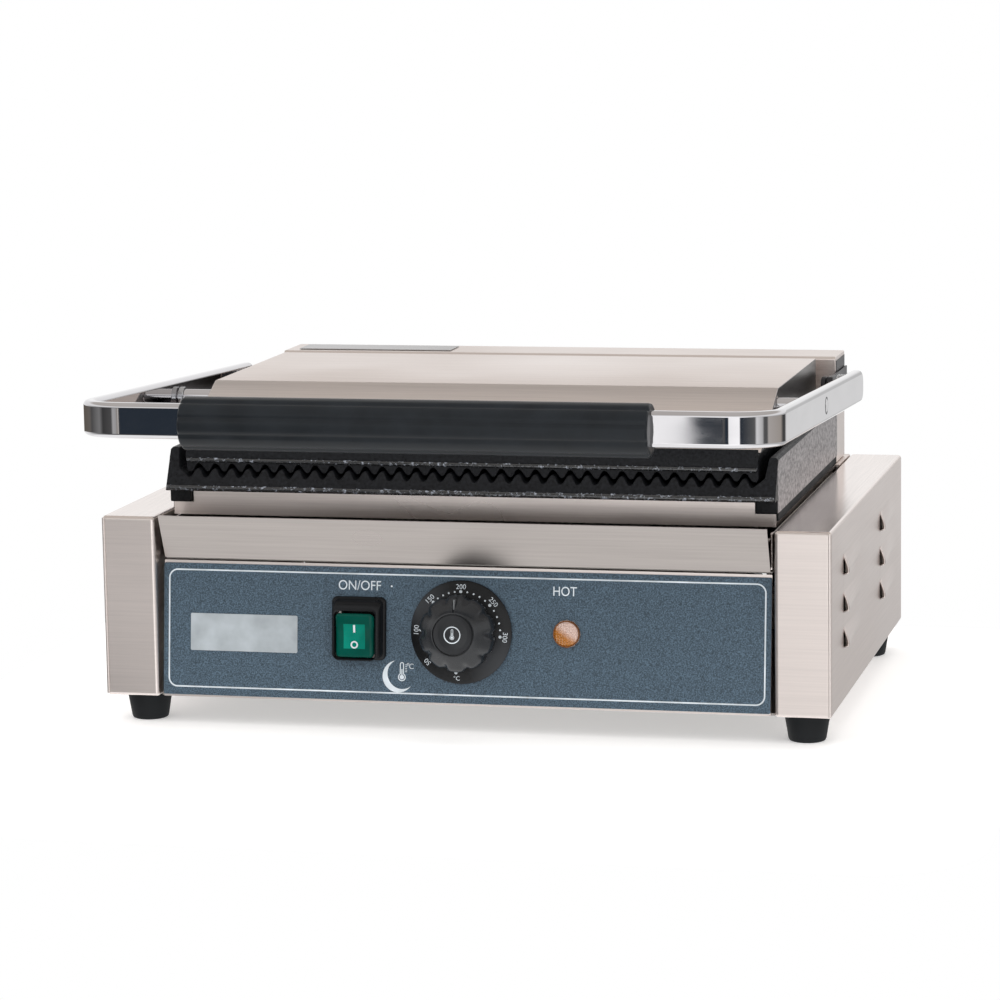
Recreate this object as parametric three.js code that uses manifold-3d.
// Single contact grill (panini press) with its lid closed, as an assembly of separate parts.
// Millimetres, +Z up, +X to the right when facing the control panel, +Y towards the rear.
// Parts are drawn with Y = 0 on the front faces of the side boxes and Z = 0 on the worktop.
// The last group moves the whole press so that its footprint is centred on X = Y = 0.
import * as THREE from 'three';
import { mergeVertices } from 'three/addons/utils/BufferGeometryUtils.js';
import { ConvexGeometry } from 'three/addons/geometries/ConvexGeometry.js';
import Module from 'manifold-3d';

const wasm = await Module();
wasm.setup();

// ---- driving dimensions ----
const BASE_WIDTH = 410;
const BOX_WIDTH = 31;
const BOX_DEPTH = 291;
const BOX_HEIGHT = 102;
const FOOT_HEIGHT = 17;
const FOOT_X = 188;
const FOOT_PLACES = [25, 266];
const SHEET = 1.5;
const THIN_SHEET = 1.2;
const GAP = 0.4;

const PANEL_LEAN = Math.atan(8 / 73.3);
const PANEL_HALF = 171.6;
const PANEL_BOTTOM = 18.8;
const PANEL_TALL = 73.7;
const SWITCH = { x: -56.6, z: 41, width: 31, height: 35 };
const DIAL = { x: 0, z: 39.5, radius: 28.5 };
const LAMP = { x: 59, z: 40.1, radius: 7.4 };

const PLATE_HALF = 172.2;
const PLATE_FRONT = 15;
const PLATE_REAR = 245;
const PLATE_UNDER = 131.5;
const SKIRT_BOTTOM = 124;
const SKIRT_INNER = 160;
const EAR_TOP = 154.5;
const RIB_PITCH = 9.66;
const RIB_COUNT = 33;
const RIB_PEAK = 143.6;
const RIB_VALLEY = 138.7;
const RIB_FLAT = 0.9;
const RIB_GAP = 1.3;

const UPPER_HALF = 162;
const UPPER_FRONT = 21.4;
const UPPER_REAR = 222;
const UPPER_TOP = 157;
const LID_HALF = 163.2;
const LID_TOP = 185.3;
const LID_BEVEL = 84;

const HOUSING_HALF = 171.2;
const HOUSING_FRONT = 247;
const HOUSING_REAR = 284;
const HOUSING_TOP = 183.3;

const HANDLE_HALF = 190.7;
const HANDLE_FRONT = -85;
const HANDLE_REAR = 226;
const HANDLE_TALL = 19;
const HANDLE_THICK = 7;
const HANDLE_BEND = 28;
const HANDLE_LEAN = 0.05;
const HANDLE_FRONT_Z = 184.6;
const GRIP_HALF = 126;
const GRIP_RADIUS = 14.3;
const GRIP_Z = 183.5;

const HINGE_Y = 214;
const ROD_Y = 80;
const ROD_RADIUS = 4;
const GLAND_LENGTH = 12;

const BOX_TOP = FOOT_HEIGHT + BOX_HEIGHT;
const BOX_INNER = BASE_WIDTH / 2 - BOX_WIDTH;
const handleZ = (y) => HANDLE_FRONT_Z - HANDLE_LEAN * (y - HANDLE_FRONT);
const HINGE_Z = handleZ(HINGE_Y);
const ROD_Z = handleZ(ROD_Y);

// ---- materials ----
const paint = (color, roughness, metalness) => {
  return new THREE.MeshStandardMaterial({ color, roughness, metalness });
};
const steel = paint('#b9b0a8', 0.35, 1);
const darkSteel = paint('#3a3b3d', 0.5, 0.9);
const chrome = paint('#d8d8da', 0.08, 1);
const castIron = paint('#1c1e20', 0.45, 0.3);
const panelBlue = paint('#46586a', 0.55, 0);
const blackPlastic = paint('#1b1d20', 0.4, 0);
const gripPlastic = paint('#2a3038', 0.5, 0);
const rubber = paint('#202122', 0.8, 0);
const green = paint('#0e6b4b', 0.3, 0);
const amber = paint('#c8761e', 0.2, 0);
const heaterSheath = paint('#55504a', 0.5, 0.8);
const ceramic = paint('#e4ded2', 0.6, 0);
const springSteel = paint('#8d8f92', 0.3, 1);
const silverLabel = paint('#c9c9c7', 0.4, 0.6);

// ---- solid helpers ----
function toManifold(geometry) {
  const bare = new THREE.BufferGeometry();
  bare.setAttribute('position', geometry.getAttribute('position').clone());
  if (geometry.index) bare.setIndex(geometry.index.clone());
  const merged = mergeVertices(bare, 1e-4);
  const vertProperties = new Float32Array(merged.getAttribute('position').array);
  const triVerts = new Uint32Array(merged.index.array);
  return new wasm.Manifold(new wasm.Mesh({ numProp: 3, vertProperties, triVerts }));
}

function toGeometry(manifold) {
  const mesh = manifold.getMesh();
  const geometry = new THREE.BufferGeometry();
  geometry.setAttribute('position', new THREE.BufferAttribute(new Float32Array(mesh.vertProperties), 3));
  geometry.setIndex(new THREE.BufferAttribute(new Uint32Array(mesh.triVerts), 1));
  geometry.computeVertexNormals();
  return geometry;
}

function cut(base, ...tools) {
  let result = toManifold(base);
  for (const tool of tools) result = result.subtract(toManifold(tool));
  return toGeometry(result);
}

function join(base, ...others) {
  let result = toManifold(base);
  for (const other of others) result = result.add(toManifold(other));
  return toGeometry(result);
}

const common = (a, b) => toGeometry(toManifold(a).intersect(toManifold(b)));

function box(x0, x1, y0, y1, z0, z1) {
  const geometry = new THREE.BoxGeometry(x1 - x0, y1 - y0, z1 - z0);
  return geometry.translate((x0 + x1) / 2, (y0 + y1) / 2, (z0 + z1) / 2);
}

const polygon = (points) => new THREE.Shape(points.map(([a, b]) => new THREE.Vector2(a, b)));
const X = new THREE.Vector3(1, 0, 0);
const Y = new THREE.Vector3(0, 1, 0);
const Z = new THREE.Vector3(0, 0, 1);

// A shape drawn in (x, z), running from y0 to y1.
function alongY(shape, y0, y1, options = {}) {
  const geometry = new THREE.ExtrudeGeometry(shape, { depth: y1 - y0, bevelEnabled: false, ...options });
  geometry.applyMatrix4(new THREE.Matrix4().makeBasis(X, Z, Y.clone().negate()));
  return geometry.translate(0, y1, 0);
}

// A shape drawn in (y, z), running from x0 to x1.
function alongX(shape, x0, x1, options = {}) {
  const geometry = new THREE.ExtrudeGeometry(shape, { depth: x1 - x0, bevelEnabled: false, ...options });
  geometry.applyMatrix4(new THREE.Matrix4().makeBasis(Y, Z, X));
  return geometry.translate(x0, 0, 0);
}

// A shape drawn in (x, y), running from z0 to z1.
function alongZ(shape, z0, z1, options = {}) {
  const geometry = new THREE.ExtrudeGeometry(shape, { depth: z1 - z0, bevelEnabled: false, ...options });
  return geometry.translate(0, 0, z0);
}

function roundRect(x0, x1, y0, y1, radius) {
  const shape = new THREE.Shape();
  shape.absarc(x1 - radius, y0 + radius, radius, -Math.PI / 2, 0);
  shape.absarc(x1 - radius, y1 - radius, radius, 0, Math.PI / 2);
  shape.absarc(x0 + radius, y1 - radius, radius, Math.PI / 2, Math.PI);
  shape.absarc(x0 + radius, y0 + radius, radius, Math.PI, 1.5 * Math.PI);
  shape.closePath();
  return shape;
}

const centredRect = (x, y, halfWide, halfTall, radius) =>
  roundRect(x - halfWide, x + halfWide, y - halfTall, y + halfTall, radius);

// A vent slot with tapered ends, `long` by `wide`, centred on (x, y).
function ventSlot(x, y, long, wide) {
  const half = long / 2;
  const side = wide / 2;
  const end = half - side;
  const corners = [[-half, 0], [-end, -side], [end, -side], [half, 0], [end, side], [-end, side]];
  return polygon(corners.map(([a, b]) => [x + a, y + b]));
}

function circle(x, y, radius) {
  const shape = new THREE.Shape();
  shape.absarc(x, y, radius, 0, 2 * Math.PI);
  return shape;
}

// A turned part: profile of [radius, distance] pairs, turned about the axis from `from` towards `to`.
function turned(profile, from, direction, segments = 24) {
  const points = profile.map(([radius, distance]) => new THREE.Vector2(radius, distance));
  const geometry = new THREE.LatheGeometry(points, segments);
  const turn = new THREE.Quaternion().setFromUnitVectors(Y, direction);
  return geometry.applyQuaternion(turn).translate(from.x, from.y, from.z);
}

const at = (x, y, z) => new THREE.Vector3(x, y, z);
const pin = (radius, from, direction, length, segments) =>
  turned([[0, 0], [radius, 0], [radius, length], [0, length]], from, direction, segments);

// A round bar of the given radius along a curve.
function bar(path, radius, steps, sides = 8) {
  const section = new THREE.Shape();
  section.absarc(0, 0, radius, 0, 2 * Math.PI);
  const options = { steps, bevelEnabled: false, curveSegments: sides / 2, extrudePath: path };
  return new THREE.ExtrudeGeometry(section, options);
}

const press = new THREE.Group();
const fascia = new THREE.Group();
press.add(fascia);

function add(name, geometry, material, parent = press) {
  const mesh = new THREE.Mesh(geometry, material);
  mesh.name = name;
  parent.add(mesh);
  return mesh;
}

const SIDES = [['left', -1], ['right', 1]];
const mirrorX = (geometry, side) => (side > 0 ? geometry : flip(geometry));

function flip(geometry) {
  const copy = geometry.clone().scale(-1, 1, 1);
  const source = copy.index ? copy.toNonIndexed() : copy;
  const position = source.getAttribute('position');
  const flipped = new Float32Array(position.array.length);
  for (let i = 0; i < position.count; i += 3) {
    [0, 2, 1].forEach((corner, k) => {
      const from = i + corner;
      flipped.set([position.getX(from), position.getY(from), position.getZ(from)], (i + k) * 3);
    });
  }
  const result = new THREE.BufferGeometry();
  result.setAttribute('position', new THREE.BufferAttribute(flipped, 3));
  return mergeVertices(result, 1e-4);
}

// ---- base: side boxes, floor and panels ----
const LOUVRE = { starts: [46, 194], rows: [93.6, 72.9, 53.2], length: 70, height: 10, rise: 3.4 };

// One pressed louvre: a scoop open towards the front that fades into the panel at its rear.
function louvreHull(y, z, grow, reach) {
  const wall = BASE_WIDTH / 2;
  const half = LOUVRE.height / 2 - grow;
  const rise = LOUVRE.rise - grow;
  const front = y - reach;
  const rear = y + LOUVRE.length - grow * 8;
  const points = [
    [wall - 1 - reach, front, z + half],
    [wall + rise, front, z - half * 0.3],
    [wall + rise * 0.8, front, z - half],
    [wall - 1 - reach, front, z - half],
    [wall - 1 - reach, rear, z + half],
    [wall - 1 - reach, rear, z - half],
  ];
  return new ConvexGeometry(points.map(([px, py, pz]) => at(px, py, pz)));
}

function sideBox() {
  const outer = BASE_WIDTH / 2;
  const shape = roundRect(BOX_INNER, outer, FOOT_HEIGHT, BOX_TOP, 2.5);
  const [floor, ceiling] = [FOOT_HEIGHT + SHEET, BOX_TOP - SHEET];
  const inner = box(BOX_INNER - 5, outer - SHEET, SHEET, BOX_DEPTH - SHEET, floor, ceiling);
  let shell = cut(alongY(shape, 0, BOX_DEPTH, { curveSegments: 4 }), inner);
  const flange = box(BOX_INNER, BOX_INNER + SHEET, SHEET - 0.1, 14, FOOT_HEIGHT + 0.5, BOX_TOP - 0.5);
  shell = join(shell, flange);
  const hoods = LOUVRE.starts.flatMap((y) => LOUVRE.rows.map((z) => louvreHull(y, z, 0, 0)));
  const hollows = LOUVRE.starts.flatMap((y) => LOUVRE.rows.map((z) => louvreHull(y, z, 0.9, 1.5)));
  shell = cut(join(shell, ...hoods), ...hollows);
  const screwHoles = FOOT_PLACES.map((y) => pin(2.6, at(FOOT_X, y, FOOT_HEIGHT - 1), Z, 5, 16));
  return cut(shell, ...screwHoles);
}

for (const [name, side] of SIDES) add(`side_box_${name}`, mirrorX(sideBox(), side), steel);

function basePan() {
  const half = BOX_INNER - GAP;
  const shape = roundRect(-half, half, 3.6, BOX_DEPTH - SHEET - GAP, 1);
  for (const x of [-105, -35, 35, 105]) {
    for (const y of [120, 150, 180]) shape.holes.push(ventSlot(x, y, 48, 6));
  }
  return alongZ(shape, FOOT_HEIGHT + GAP, FOOT_HEIGHT + GAP + THIN_SHEET, { curveSegments: 1 });
}
add('base_pan', basePan(), steel);

const GLAND = { x: 120, z: 44, radius: 9 };
function rearPanel() {
  const half = BOX_INNER - GAP;
  const shape = roundRect(-half, half, FOOT_HEIGHT + 0.3, BOX_TOP - 0.3, 1);
  shape.holes.push(circle(GLAND.x, GLAND.z, GLAND.radius + 1.2));
  for (const x of [-110, -60, -10, 40]) {
    for (const z of [60, 72, 84]) shape.holes.push(ventSlot(x, z, 38, 5));
  }
  return alongY(shape, BOX_DEPTH - SHEET, BOX_DEPTH, { curveSegments: 12 });
}
add('rear_panel', rearPanel(), steel);

function cableGland() {
  const profile = [
    [4, -12], [GLAND.radius, -12], [GLAND.radius, GAP], [13, GAP], [13, 5], [9.5, 6.5], [8, GLAND_LENGTH],
    [4, GLAND_LENGTH], [4, -12],
  ];
  return turned(profile, at(GLAND.x, BOX_DEPTH, GLAND.z), Y, 24);
}
add('cable_gland', cableGland(), blackPlastic);

function foot() {
  const profile = [
    [0, 2], [6, 2], [6, 0], [9.2, 0], [10.4, 1.2], [12.9, FOOT_HEIGHT - 1], [12.4, FOOT_HEIGHT - 0.3],
    [2.4, FOOT_HEIGHT - 0.3], [2.4, 8], [0, 8],
  ];
  return turned(profile, at(0, 0, 0), Z, 20);
}

function footScrew() {
  const shank = FOOT_HEIGHT + SHEET;
  const profile = [
    [0, 8.4], [2.1, 8.4], [2.1, shank + GAP], [4.5, shank + GAP], [4.5, shank + 3], [3, shank + 4],
    [0, shank + 4],
  ];
  return turned(profile, at(0, 0, 0), Z, 10);
}

for (const [name, side] of SIDES) {
  FOOT_PLACES.forEach((y, i) => {
    const place = `${i === 0 ? 'front' : 'rear'}_${name}`;
    add(`foot_${place}`, foot().translate(side * FOOT_X, y, 0), rubber);
    add(`foot_screw_${place}`, footScrew().translate(side * FOOT_X, y, 0), springSteel);
  });
}

// ---- control panel, drawn upright and then leaned back ----
fascia.position.set(0, 0.5, PANEL_BOTTOM);
fascia.rotation.x = -PANEL_LEAN;
const OVERLAY = 0.7;
const FASCIA_FRONT = OVERLAY + 0.3;
const FASCIA_BACK = FASCIA_FRONT + SHEET;
const BEZEL_RISE = 6.5;

function switchOutline(grow) {
  const { x, z, width, height } = SWITCH;
  return centredRect(x, z, width / 2 + grow, height / 2 + grow, 3);
}

function controlPanel() {
  const shape = roundRect(-PANEL_HALF, PANEL_HALF, -1.2, PANEL_TALL + 1.5, 0.5);
  shape.holes.push(switchOutline(-3));
  shape.holes.push(circle(DIAL.x, DIAL.z, 5));
  shape.holes.push(circle(LAMP.x, LAMP.z, 5.4));
  return alongY(shape, FASCIA_FRONT, FASCIA_BACK, { curveSegments: 5 });
}
add('control_panel', controlPanel(), steel, fascia);

function panelOverlay() {
  const shape = roundRect(-PANEL_HALF, PANEL_HALF, 0, PANEL_TALL, 1);
  shape.holes.push(switchOutline(GAP));
  shape.holes.push(circle(DIAL.x, DIAL.z, 6));
  shape.holes.push(circle(LAMP.x, LAMP.z, LAMP.radius + GAP));
  return alongY(shape, 0, OVERLAY, { curveSegments: 6 });
}
add('panel_overlay', panelOverlay(), panelBlue, fascia);

const ROCKER = { x: SWITCH.x - 0.4, z: SWITCH.z - 2.4, width: 21, height: 25 };
function rockerOpening(grow) {
  const { x, z, width, height } = ROCKER;
  return centredRect(x, z, width / 2 + grow, height / 2 + grow, 2);
}

function switchBezel() {
  const shape = switchOutline(0);
  shape.holes.push(rockerOpening(0.5));
  return alongY(shape, -BEZEL_RISE, FASCIA_FRONT - 0.3, { curveSegments: 4 });
}
add('switch_bezel', switchBezel(), blackPlastic, fascia);

function switchBody() {
  const body = alongY(switchOutline(-3.4), FASCIA_FRONT, 26, { curveSegments: 3 });
  const well = alongY(rockerOpening(0.5), FASCIA_FRONT - 1, 8, { curveSegments: 3 });
  const blade = (z) => box(SWITCH.x - 3, SWITCH.x + 3, 25, 34, z - 0.5, z + 0.5);
  const blades = [-7, 0, 7].map((dz) => blade(SWITCH.z + dz));
  return join(cut(body, well), ...blades);
}
add('switch_body', switchBody(), blackPlastic, fascia);

// The rocker's rounded back turns about an axis just inside the bezel.
const ROCKER_AXIS_Y = 0.5;
function switchRocker() {
  const { x, z, width, height } = ROCKER;
  const outline = new THREE.Shape();
  const half = height / 2 - 1.1;
  outline.moveTo(-BEZEL_RISE - 1.8, z + half);
  outline.lineTo(-BEZEL_RISE + 0.4, z);
  outline.lineTo(-BEZEL_RISE + 0.4, z - half);
  outline.lineTo(ROCKER_AXIS_Y, z - half + 1.6);
  outline.absarc(ROCKER_AXIS_Y, z, 5, -Math.PI / 2, Math.PI / 2);
  outline.lineTo(ROCKER_AXIS_Y, z + half - 1.6);
  outline.closePath();
  return alongX(outline, x - width / 2, x + width / 2, { curveSegments: 8 });
}
add('switch_rocker', switchRocker(), green, fascia);

function lampLens() {
  const r = LAMP.radius;
  const profile = [
    [0, -4], [4.6, -4], [4.6, -OVERLAY], [r, -OVERLAY], [r, 0.5], [r * 0.9, 2], [r * 0.55, 3.4], [0, 4],
  ];
  return turned(profile, at(LAMP.x, 0, LAMP.z), at(0, -1, 0), 24);
}
add('lamp_lens', lampLens(), amber, fascia);

function lampBody() {
  const profile = [[0, 4.4], [4.6, 4.4], [4.6, 18], [2, 18], [2, 24], [0, 24]];
  return turned(profile, at(LAMP.x, 0, LAMP.z), Y, 16);
}
add('lamp_body', lampBody(), blackPlastic, fascia);

function thermostatBody() {
  const block = alongY(centredRect(DIAL.x, DIAL.z, 18, 18, 4), 4, 30, { curveSegments: 2 });
  return cut(block, pin(3.4, at(DIAL.x, 0, DIAL.z), Y, 16, 16));
}
add('thermostat_body', thermostatBody(), ceramic, fascia);

// ---- temperature knob in front of its fixed scale ----
const DIAL_THICK = 3;
const KNOB_RADIUS = 21.2;
const KNOB_RISE = 20;
const dialCentre = at(DIAL.x, 0, DIAL.z);
const OUTWARD = at(0, -1, 0);

const shaftStart = at(DIAL.x, 15, DIAL.z);
add('thermostat_shaft', pin(3, shaftStart, OUTWARD, 15 + DIAL_THICK + 5, 16), springSteel, fascia);

function dialScale() {
  const r = DIAL.radius;
  const inner = 3 + GAP;
  const profile = [[inner, 0.6], [r, 0.6], [r, 1.4], [r - 1.6, 3], [inner, 3], [inner, 0.6]];
  return turned(profile, dialCentre, OUTWARD, 36);
}
add('dial_scale', dialScale(), blackPlastic, fascia);

function knobGrip() {
  const shape = new THREE.Shape();
  const flutes = 20;
  for (let i = 0; i < flutes * 2; i += 1) {
    const angle = (i / (flutes * 2)) * 2 * Math.PI;
    const radius = i % 2 === 0 ? KNOB_RADIUS : KNOB_RADIUS - 0.8;
    const point = [DIAL.x + radius * Math.cos(angle), DIAL.z + radius * Math.sin(angle)];
    if (i === 0) shape.moveTo(...point);
    else shape.lineTo(...point);
  }
  shape.closePath();
  const body = alongY(shape, -KNOB_RISE, -DIAL_THICK - GAP);
  const recess = pin(11.5, at(DIAL.x, -KNOB_RISE + 1, DIAL.z), OUTWARD, 4, 32);
  const socket = pin(3 + GAP, at(DIAL.x, 0, DIAL.z), OUTWARD, DIAL_THICK + 6, 16);
  return cut(body, recess, socket);
}
add('knob_grip', knobGrip(), blackPlastic, fascia);

function knobCap() {
  const r = 11.1;
  const top = KNOB_RISE + 2.2;
  const profile = [[0, KNOB_RISE - 0.7], [r, KNOB_RISE - 0.7], [r, top - 0.6], [r - 0.8, top], [0, top]];
  return turned(profile, dialCentre, OUTWARD, 32);
}
add('knob_cap', knobCap(), darkSteel, fascia);

// ---- inside the base ----
function terminalBlock() {
  const block = box(92, 148, 238, 256, FOOT_HEIGHT + 2, FOOT_HEIGHT + 20);
  const wells = [0, 1, 2, 3, 4].map((i) => pin(3, at(98 + i * 11, 247, FOOT_HEIGHT + 14), Z, 8, 10));
  return cut(block, ...wells);
}
add('terminal_block', terminalBlock(), ceramic);

const SHELF_Z = 93.6;
add('tray_shelf', box(-171.4, 171.4, 12, 246, SHELF_Z, SHELF_Z + THIN_SHEET), steel);

const TRAY_HALF = 158;
function trayRail(side) {
  const foot = SHELF_Z + THIN_SHEET + 0.3;
  const sheetTop = foot + THIN_SHEET;
  const outline = [
    [163, foot], [171, foot], [171, foot + 20], [169.8, foot + 20], [169.8, sheetTop], [163, sheetTop],
  ];
  return mirrorX(alongY(polygon(outline), 14, 240), side);
}
for (const [name, side] of SIDES) add(`tray_rail_${name}`, trayRail(side), steel);

// ---- drip tray: a shallow pan behind a sloping front ----
const TRAY = { half: TRAY_HALF, floor: 96.2, rim: 113, front: 11, rear: 232, wall: 1.2 };
function dripTray() {
  const { half, floor, rim, front, rear, wall } = TRAY;
  const pan = box(-half, half, front, rear, floor, rim);
  const hollow = box(-half + wall, half - wall, front + wall, rear - wall, floor + wall, rim + 5);
  const slope = polygon([
    [-3.3, 120.3], [-2.1, 120.3], [1.2, 113], [11.3, 113], [11.3, 111.8], [1.8, 111.8], [9.2, 95.4],
    [8, 95.1],
  ]);
  const face = alongX(slope, -170.9, 170.9);
  return join(cut(pan, hollow), face);
}
add('drip_tray', dripTray(), steel);

// ---- frame that carries the lower plate ----
function plateFrame() {
  const wide = 171;
  const narrow = SKIRT_INNER - 0.6;
  const ledge = SKIRT_BOTTOM - GAP;
  const top = PLATE_UNDER - GAP;
  const foot = 116.6;
  const outline = [
    [-wide, foot], [wide, foot], [wide, ledge], [narrow, ledge],
    [narrow, top], [-narrow, top], [-narrow, ledge], [-wide, ledge],
  ];
  const front = alongY(polygon(outline), 27, 27 + SHEET);
  const walls = SIDES.map(([, side]) => mirrorX(box(wide - SHEET, wide, 28, 243, foot, ledge), side));
  const rear = box(-wide, wide, 242, 243 + GAP, foot, ledge);
  return join(front, ...walls, rear);
}
add('plate_frame', plateFrame(), steel);

const SHIELD_Z = 117.5;
add('heat_shield', box(-155, 155, 33, 236, SHIELD_Z, SHIELD_Z + 0.8), steel);

// A heating element bent into a serpentine of straight runs joined by half circles.
class Serpentine extends THREE.Curve {
  constructor(path) {
    super();
    this.path = path;
  }

  getPoint(t, target = new THREE.Vector3()) {
    const point = this.path.getPointAt(Math.min(Math.max(t, 0), 1));
    return target.set(point.x, point.y, 0);
  }
}

function heaterPath(half, front, rear, runs) {
  const path = new THREE.Path();
  const pitch = (2 * half) / (runs - 1);
  const bend = pitch / 2;
  path.moveTo(-half, rear + 8);
  for (let i = 0; i < runs; i += 1) {
    const x = -half + i * pitch;
    const forward = i % 2 === 0;
    const end = forward ? front + bend : rear - bend;
    if (i === runs - 1) path.lineTo(x, rear + 8);
    else {
      path.lineTo(x, end);
      if (forward) path.absarc(x + bend, end, bend, Math.PI, 2 * Math.PI, false);
      else path.absarc(x + bend, end, bend, Math.PI, 0, true);
    }
  }
  return new Serpentine(path);
}
const heater = (front, rear, z) => bar(heaterPath(135, front, rear, 6), 3.2, 84, 8).translate(0, 0, z);
add('lower_heater', heater(42, 222, 127.6), heaterSheath);
add('lower_clamp_plate', box(-140, 140, 60, 205, 121.4, 123.6), darkSteel);

// ---- thermostat sensing bulb and its capillary, up the rear of the base to the lower plate ----
const BULB_X = 108;
const capillaryRoute = [
  [6, 35.6, 54.6], [10, 60, 46], [60, 160, 44], [BULB_X, 232, 54], [BULB_X, 259, 80], [BULB_X, 259, 108],
  [BULB_X, 251, 126], [BULB_X, 238, 127.8],
];
const capillaryCurve = new THREE.CatmullRomCurve3(capillaryRoute.map((p) => at(...p)), false, 'centripetal');
add('capillary_tube', bar(capillaryCurve, 1.1, 40, 6), springSteel);
add('sensing_bulb', pin(2.6, at(BULB_X, 237.6, 127.8), at(0, -1, 0), 24, 10), springSteel);

// ---- cooking plates ----
// The wavy line of ribs from -X to +X. `lift` raises it, which leaves the gap between the plates.
function ribLine(lift) {
  const points = [];
  const first = -((RIB_COUNT - 1) / 2) * RIB_PITCH;
  for (let i = 0; i < RIB_COUNT; i += 1) {
    const x = first + i * RIB_PITCH;
    const valley = RIB_PITCH / 2;
    points.push([x - valley + RIB_FLAT, RIB_VALLEY + lift]);
    points.push([x - RIB_FLAT, RIB_PEAK + lift]);
    points.push([x + RIB_FLAT, RIB_PEAK + lift]);
    points.push([x + valley - RIB_FLAT, RIB_VALLEY + lift]);
  }
  return points;
}

function lowerPlate() {
  const ribs = ribLine(0);
  const ear = [
    [166, 143], [167.5, EAR_TOP], [PLATE_HALF, EAR_TOP],
    [PLATE_HALF, SKIRT_BOTTOM], [SKIRT_INNER, SKIRT_BOTTOM], [SKIRT_INNER, PLATE_UNDER],
  ];
  const left = ear.map(([x, z]) => [-x, z]).reverse();
  const section = alongY(polygon([...left, ...ribs, ...ear]), PLATE_FRONT - 1, PLATE_REAR);
  const side = polygon([
    [PLATE_FRONT, PLATE_UNDER], [27.5, EAR_TOP], [PLATE_REAR, EAR_TOP],
    [PLATE_REAR, SKIRT_BOTTOM], [24, SKIRT_BOTTOM], [24, PLATE_UNDER],
  ]);
  const trimmed = common(section, alongX(side, -PLATE_HALF - 1, PLATE_HALF + 1));
  const half = PLATE_HALF - 1;
  const rearWall = box(-half, half, PLATE_REAR - 5, PLATE_REAR, PLATE_UNDER, EAR_TOP - 0.5);
  return join(trimmed, rearWall);
}
add('lower_plate', lowerPlate(), castIron);

function upperPlate() {
  const ribs = ribLine(RIB_GAP);
  const end = [[161, 140.4], [UPPER_HALF, 143], [UPPER_HALF, UPPER_TOP]];
  const left = end.map(([x, z]) => [-x, z]).reverse();
  const section = alongY(polygon([...left, ...ribs, ...end]), UPPER_FRONT - 1, UPPER_REAR);
  const side = polygon([
    [25, 139], [UPPER_FRONT, 148.2], [23, UPPER_TOP], [UPPER_REAR, UPPER_TOP], [UPPER_REAR, 139],
  ]);
  return common(section, alongX(side, -UPPER_HALF - 1, UPPER_HALF + 1));
}
add('upper_plate', upperPlate(), castIron);
add('upper_heater', heater(56, 206, 161), heaterSheath);
add('upper_clamp_plate', box(-140, 140, 60, 205, 164.8, 166.6), darkSteel);

function lidCover() {
  const bottom = UPPER_TOP + GAP;
  const front = 24.5;
  const t = THIN_SHEET;
  const outer = [[front, bottom], [LID_BEVEL, LID_TOP], [UPPER_REAR, LID_TOP], [UPPER_REAR, bottom]];
  const back = UPPER_REAR - t;
  const inner = [
    [front + 2.6, bottom - 1], [LID_BEVEL + 0.3, LID_TOP - t], [back, LID_TOP - t], [back, bottom - 1],
  ];
  const shell = cut(
    alongX(polygon(outer), -LID_HALF, LID_HALF),
    alongX(polygon(inner), -LID_HALF + t, LID_HALF - t),
  );
  return cut(shell, pin(ROD_RADIUS + 0.6, at(-LID_HALF - 5, ROD_Y, ROD_Z), X, 2 * LID_HALF + 10, 20));
}
add('lid_cover', lidCover(), steel);

// Lugs cast onto the upper plate's back, which hang it from the cross rod.
function plateLug(side) {
  const shape = new THREE.Shape();
  shape.moveTo(ROD_Y - 13, UPPER_TOP + GAP);
  shape.lineTo(ROD_Y + 13, UPPER_TOP + GAP);
  shape.absarc(ROD_Y, ROD_Z - 1.2, 6.2, 0, Math.PI);
  shape.closePath();
  const bore = pin(ROD_RADIUS + GAP, at(140, ROD_Y, ROD_Z), X, 30, 20);
  return mirrorX(cut(alongX(shape, 148, 156, { curveSegments: 8 }), bore), side);
}
for (const [name, side] of SIDES) add(`plate_lug_${name}`, plateLug(side), castIron);

// ---- rear deck and the fixed hinge housing that stands on it ----
const DECK_TOP = BOX_TOP - 0.3;
function rearDeck() {
  const half = BOX_INNER - GAP;
  const shape = roundRect(-half, half, PLATE_REAR + 1, BOX_DEPTH - SHEET - GAP, 1);
  shape.holes.push(roundRect(40, 124, 252, 268, 4));
  return alongZ(shape, DECK_TOP - SHEET, DECK_TOP, { curveSegments: 3 });
}
add('rear_deck', rearDeck(), steel);

function hingeHousing() {
  const half = HOUSING_HALF;
  const t = SHEET;
  const bottom = DECK_TOP + 0.3;
  const shape = roundRect(HOUSING_FRONT, HOUSING_REAR, bottom - 6, HOUSING_TOP, 2);
  const outer = alongX(shape, -half, half, { curveSegments: 4 });
  const inner = box(-half + t, half - t, HOUSING_FRONT + t, HOUSING_REAR - t, bottom - 10, HOUSING_TOP - t);
  const under = box(-half - 1, half + 1, HOUSING_FRONT - 1, HOUSING_REAR + 1, bottom - 10, bottom);
  const [left, right] = [BULB_X - 10, BULB_X + 10];
  const capillaryNotch = box(left, right, HOUSING_FRONT - 1, HOUSING_FRONT + 5, bottom - 1, PLATE_UNDER);
  return cut(outer, inner, under, capillaryNotch);
}
add('hinge_housing', hingeHousing(), steel);
add('rating_label', box(-163, -67, 254, 276, HOUSING_TOP + 0.2, HOUSING_TOP + 0.7), silverLabel);

// ---- hinge: side brackets, pins and the springs that balance the lid ----
const BRACKET = { x: HOUSING_HALF + 0.5, thick: 3.5 };
const hingePoint = (x) => at(x, HINGE_Y, HINGE_Z);

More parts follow.
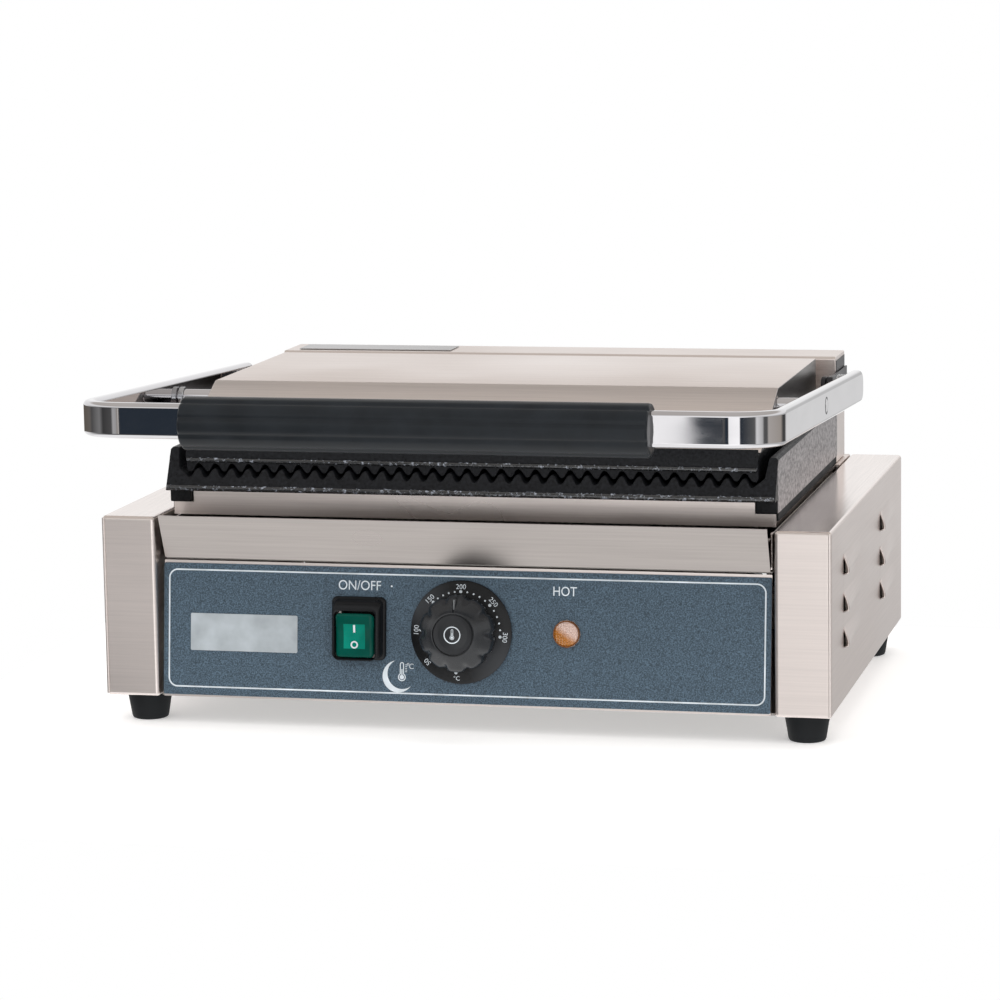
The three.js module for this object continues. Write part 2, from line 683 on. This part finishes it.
function hingeBracket(side) {
  const shape = new THREE.Shape();
  shape.moveTo(HOUSING_REAR, 158);
  shape.lineTo(HOUSING_REAR, 181.5);
  shape.lineTo(264, 181.5);
  shape.lineTo(260, HINGE_Z + 8.5);
  shape.absarc(HINGE_Y, HINGE_Z, 8.5, Math.PI / 2, 1.5 * Math.PI);
  shape.closePath();
  const { x, thick } = BRACKET;
  const plate = alongX(shape, x, x + thick, { curveSegments: 10 });
  const stud = pin(2.5, at(x + 1, 278, 161.5), X, 9, 12);
  const bore = pin(4.4, hingePoint(160), X, 30, 24);
  return mirrorX(cut(join(plate, stud), bore), side);
}

function hingePin(side) {
  const tip = HANDLE_HALF - HANDLE_THICK - 0.3;
  const head = 168;
  const profile = [[0, 0], [7, 0], [7, 3], [4, 3], [4, tip - head], [0, tip - head]];
  return mirrorX(turned(profile, hingePoint(head), X, 20), side);
}

// Torsion spring: turns about the hinge pin, with one leg back to the stud and one under the arm.
class TorsionSpring extends THREE.Curve {
  getPoint(t, target = new THREE.Vector3()) {
    const { turns, radius, start, end } = SPRING;
    const share = 0.3;
    if (t < share) {
      const k = t / share;
      return target.set(start, 279 + (HINGE_Y - 279) * k, 157.6 + (HINGE_Z - radius - 157.6) * k);
    }
    const k = (t - share) / (1 - share);
    const angle = -Math.PI / 2 - k * turns * 2 * Math.PI;
    const y = HINGE_Y + radius * Math.cos(angle);
    return target.set(start + (end - start) * k, y, HINGE_Z + radius * Math.sin(angle));
  }
}
const SPRING = { turns: 3.4, radius: 6.6, start: 177.2, end: 182.2 };
const liftSpring = (side) => mirrorX(bar(new TorsionSpring(), 0.8, 64, 6), side);

for (const [name, side] of SIDES) {
  add(`hinge_bracket_${name}`, hingeBracket(side), darkSteel);
  add(`hinge_pin_${name}`, hingePin(side), springSteel);
  add(`lift_spring_${name}`, liftSpring(side), springSteel);
}

// ---- handle: one flat bar bent into a U, its grip and the cross rod ----
function handleFrame() {
  const half = HANDLE_HALF;
  const inner = half - HANDLE_THICK;
  const bendX = half - HANDLE_BEND;
  const bendY = HANDLE_BEND;
  const reach = HANDLE_REAR - HANDLE_FRONT;
  const innerBend = HANDLE_BEND - HANDLE_THICK;
  const shape = new THREE.Shape();
  shape.moveTo(-half, reach);
  shape.lineTo(-half, bendY);
  shape.absarc(-bendX, bendY, HANDLE_BEND, Math.PI, 1.5 * Math.PI);
  shape.absarc(bendX, bendY, HANDLE_BEND, 1.5 * Math.PI, 2 * Math.PI);
  shape.lineTo(half, reach);
  shape.lineTo(inner, reach);
  shape.absarc(bendX, bendY, innerBend, 0, -Math.PI / 2, true);
  shape.absarc(-bendX, bendY, innerBend, 1.5 * Math.PI, Math.PI, true);
  shape.lineTo(-inner, reach);
  shape.closePath();
  const edge = 1.6;
  const bevel = {
    bevelEnabled: true, bevelThickness: edge, bevelSize: edge, bevelOffset: -edge, bevelSegments: 1,
  };
  const tall = HANDLE_TALL / 2;
  const bar3d = alongZ(shape, -tall + edge, tall - edge, { curveSegments: 8, ...bevel });
  const corner = 5;
  const side = polygon([
    [-5, -tall - 1], [reach - corner, -tall], [reach, -tall + corner],
    [reach, tall - corner], [reach - corner, tall], [-5, tall + 1],
  ]);
  const trimmed = common(bar3d, alongX(side, -half - 1, half + 1));
  trimmed.rotateX(-HANDLE_LEAN).translate(0, HANDLE_FRONT, HANDLE_FRONT_Z);
  return cut(trimmed, pin(ROD_RADIUS + 0.35, at(-half - 5, ROD_Y, ROD_Z), X, 2 * half + 10, 20));
}
add('handle_frame', handleFrame(), chrome);

function handleGrip() {
  const centre = HANDLE_FRONT + HANDLE_THICK / 2;
  const shape = new THREE.Shape();
  const points = 48;
  for (let i = 0; i < points; i += 1) {
    const angle = (i / points) * 2 * Math.PI;
    const radius = GRIP_RADIUS - (i % 4 === 2 ? 0.7 : 0);
    const point = [centre + radius * Math.cos(angle), GRIP_Z + radius * Math.sin(angle)];
    if (i === 0) shape.moveTo(...point);
    else shape.lineTo(...point);
  }
  shape.closePath();
  const slotHalf = HANDLE_THICK / 2 + 0.9;
  const slotTall = HANDLE_TALL / 2 + 0.6;
  shape.holes.push(centredRect(centre, HANDLE_FRONT_Z, slotHalf, slotTall, 0.8));
  return alongX(shape, -GRIP_HALF, GRIP_HALF, { curveSegments: 2 });
}
add('handle_grip', handleGrip(), gripPlastic);

add('cross_rod', pin(ROD_RADIUS, at(-HANDLE_HALF, ROD_Y, ROD_Z), X, 2 * HANDLE_HALF, 20), chrome);
for (const [name, side] of SIDES) {
  const start = HANDLE_HALF - HANDLE_THICK - 3.4;
  const bore = ROD_RADIUS + 0.35;
  const profile = [[bore, 0], [7.5, 0], [7.5, 3], [bore, 3], [bore, 0]];
  add(`rod_collar_${name}`, mirrorX(turned(profile, at(start, ROD_Y, ROD_Z), X, 20), side), darkSteel);
}

// ---- centre the footprint ----
const frontMost = HANDLE_FRONT + HANDLE_THICK / 2 - GRIP_RADIUS;
const rearMost = BOX_DEPTH + GLAND_LENGTH;
press.position.y = -(frontMost + rearMost) / 2;

const group = new THREE.Group();
group.add(press);
export default group;
